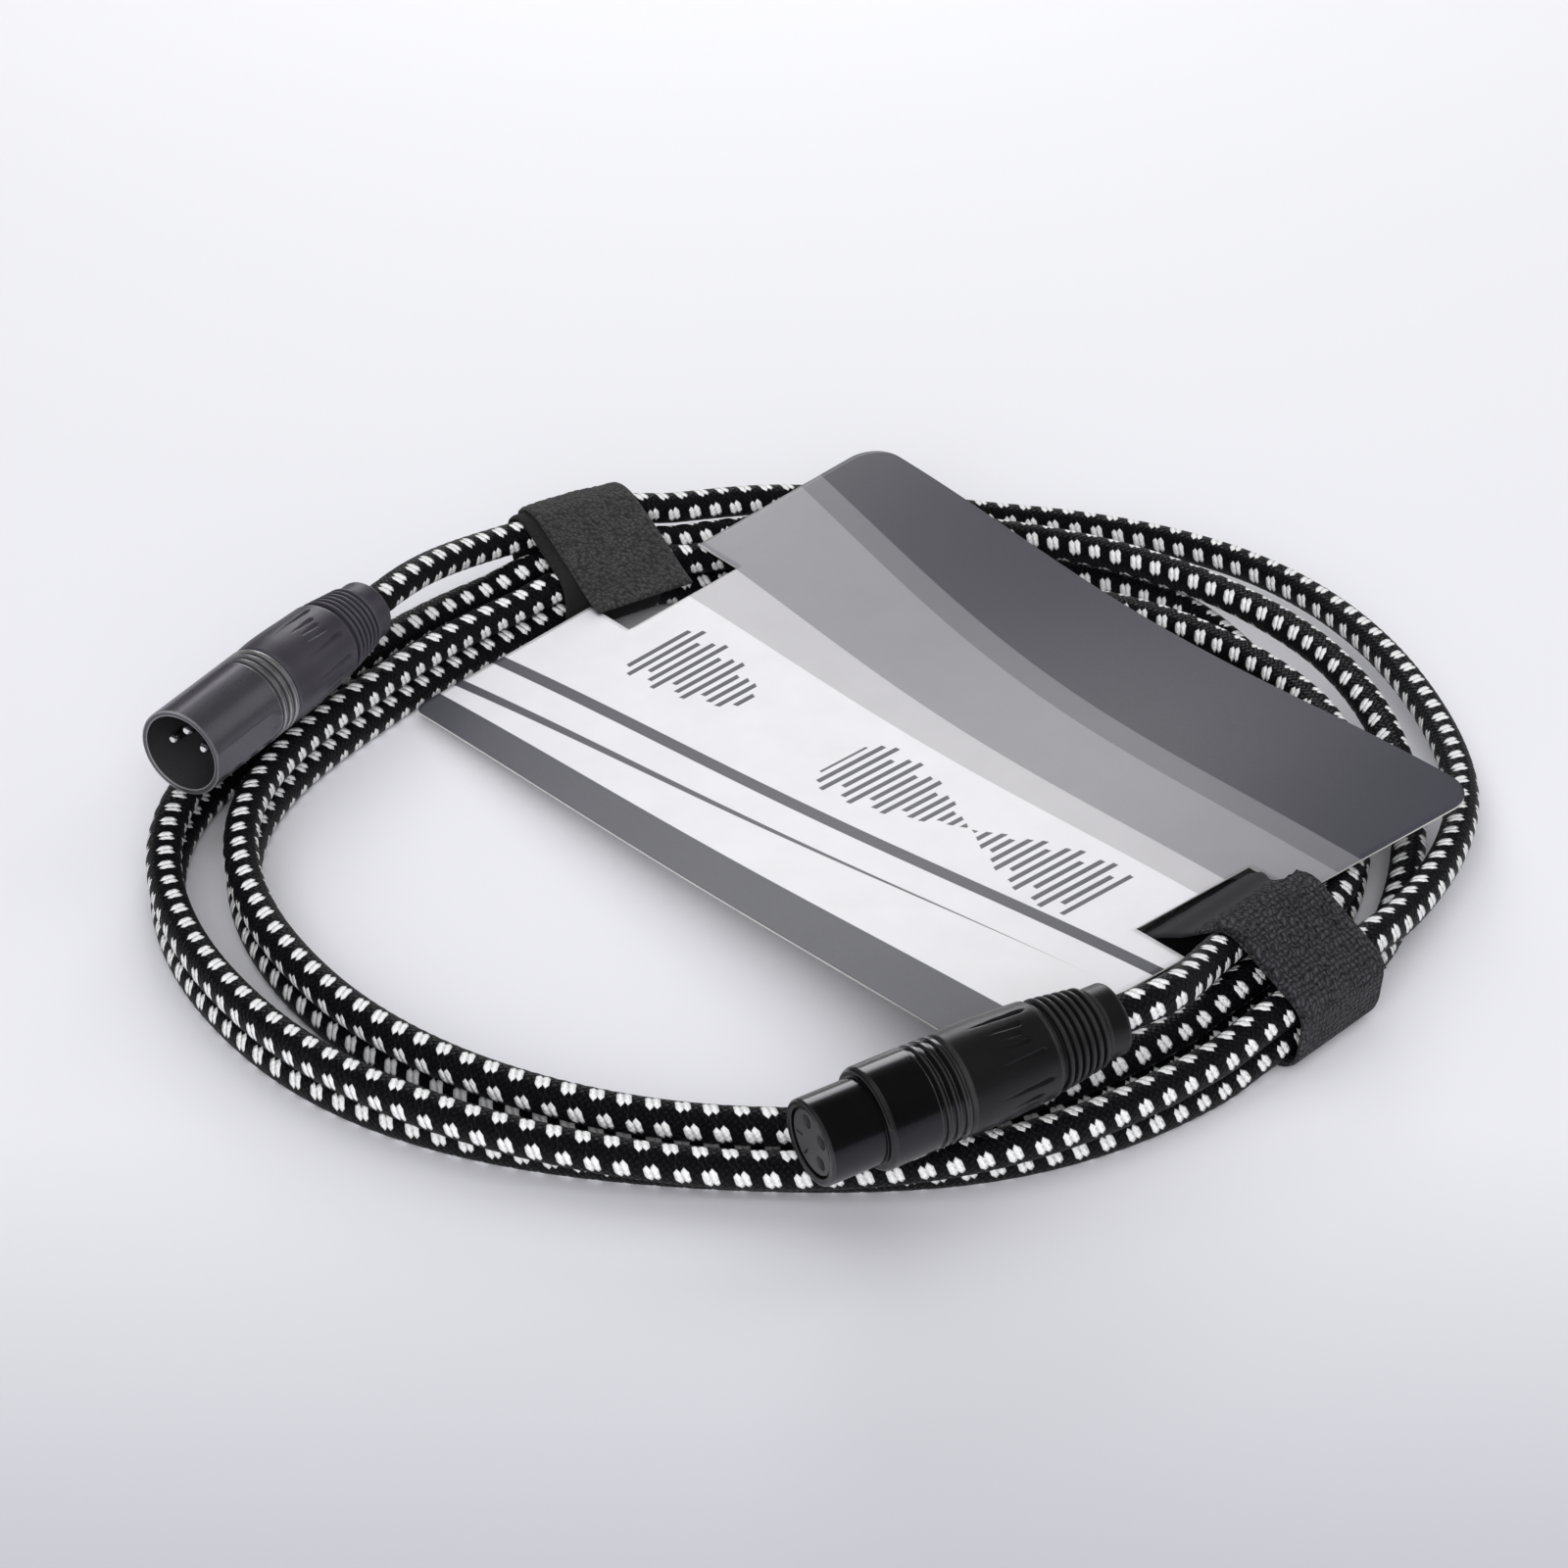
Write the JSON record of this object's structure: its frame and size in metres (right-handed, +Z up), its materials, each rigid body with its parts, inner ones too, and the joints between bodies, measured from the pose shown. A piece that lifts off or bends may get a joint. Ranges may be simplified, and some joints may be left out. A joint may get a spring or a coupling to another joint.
{
  "type": "xlr cable coil",
  "caption": "Braided microphone cable wound into a ring with a female and a male connector, held by hook-and-loop straps to a notched hang card.",
  "frame": {"origin": "centre of the box at the surface the coil lies on", "axes": "+Z up through the ring, +X along the long side of the hang card towards the female connector, +Y away from the connectors' mouths"},
  "size_m": [0.2416, 0.2787, 0.0338],
  "materials": {
    "braid": "woven black braid with white tracers",
    "shell": "black satin die casting",
    "moulding": "dark moulding",
    "contact": "silver plate",
    "latch": "blackened spring steel",
    "clamp": "grey moulding",
    "boot_black": "black satin moulding",
    "boot_grey": "dark grey satin moulding",
    "webbing": "woven hook-and-loop backing",
    "pile": "looped pile",
    "board": "printed card",
    "screen": "tinned copper screen",
    "core_red": "red core",
    "core_white": "white core"
  },
  "bodies": {
    "root": {"cable_coil": "braid", "female_shell": "shell", "female_insert": "moulding", "female_contact_1": "contact", "female_contact_2": "contact", "female_contact_3": "contact", "female_chuck": "clamp", "female_wire_1": "screen", "female_wire_2": "core_red", "female_wire_3": "core_white", "male_shell": "shell", "male_insert": "moulding", "male_pin_1": "contact", "male_pin_2": "contact", "male_pin_3": "contact", "male_chuck": "clamp", "male_wire_1": "screen", "male_wire_2": "core_red", "male_wire_3": "core_white", "strap_right_band": "webbing", "strap_left_band": "webbing", "hang_card": "board"},
    "latch": {"female_latch": "latch"},
    "female_boot": {"female_boot": "boot_black"},
    "male_boot": {"male_boot": "boot_grey"},
    "right_flap": {"strap_right_flap": "pile"},
    "left_flap": {"strap_left_flap": "pile"}
  },
  "joints": [
    {"name": "latch_push", "type": "slide", "parent": "root", "child": "latch", "axis": [0.8119, -0.1697, 0.5585], "range_m": [0, 0.0008], "stiffness_N_per_m": 900},
    {"name": "female_boot_turn", "type": "hinge", "parent": "root", "child": "female_boot", "pos_m": [0.10399, -0.04567, 0.02441], "axis": [0.1719, 0.9839, 0.0491], "range_deg": [0, 900]},
    {"name": "male_boot_turn", "type": "hinge", "parent": "root", "child": "male_boot", "pos_m": [-0.09435, -0.0619, 0.0242], "axis": [-0.3701, 0.929, 0], "range_deg": [0, 900]},
    {"name": "right_flap_peel", "type": "hinge", "parent": "root", "child": "right_flap", "pos_m": [0.11838, 0.02169, 0.0142], "axis": [-0.0872, 0.9962, 0], "range_deg": [0, 95]},
    {"name": "left_flap_peel", "type": "hinge", "parent": "root", "child": "left_flap", "pos_m": [-0.11816, 0.01873, 0.02095], "axis": [-0.1045, -0.9945, 0], "range_deg": [0, 110]}
  ]
}
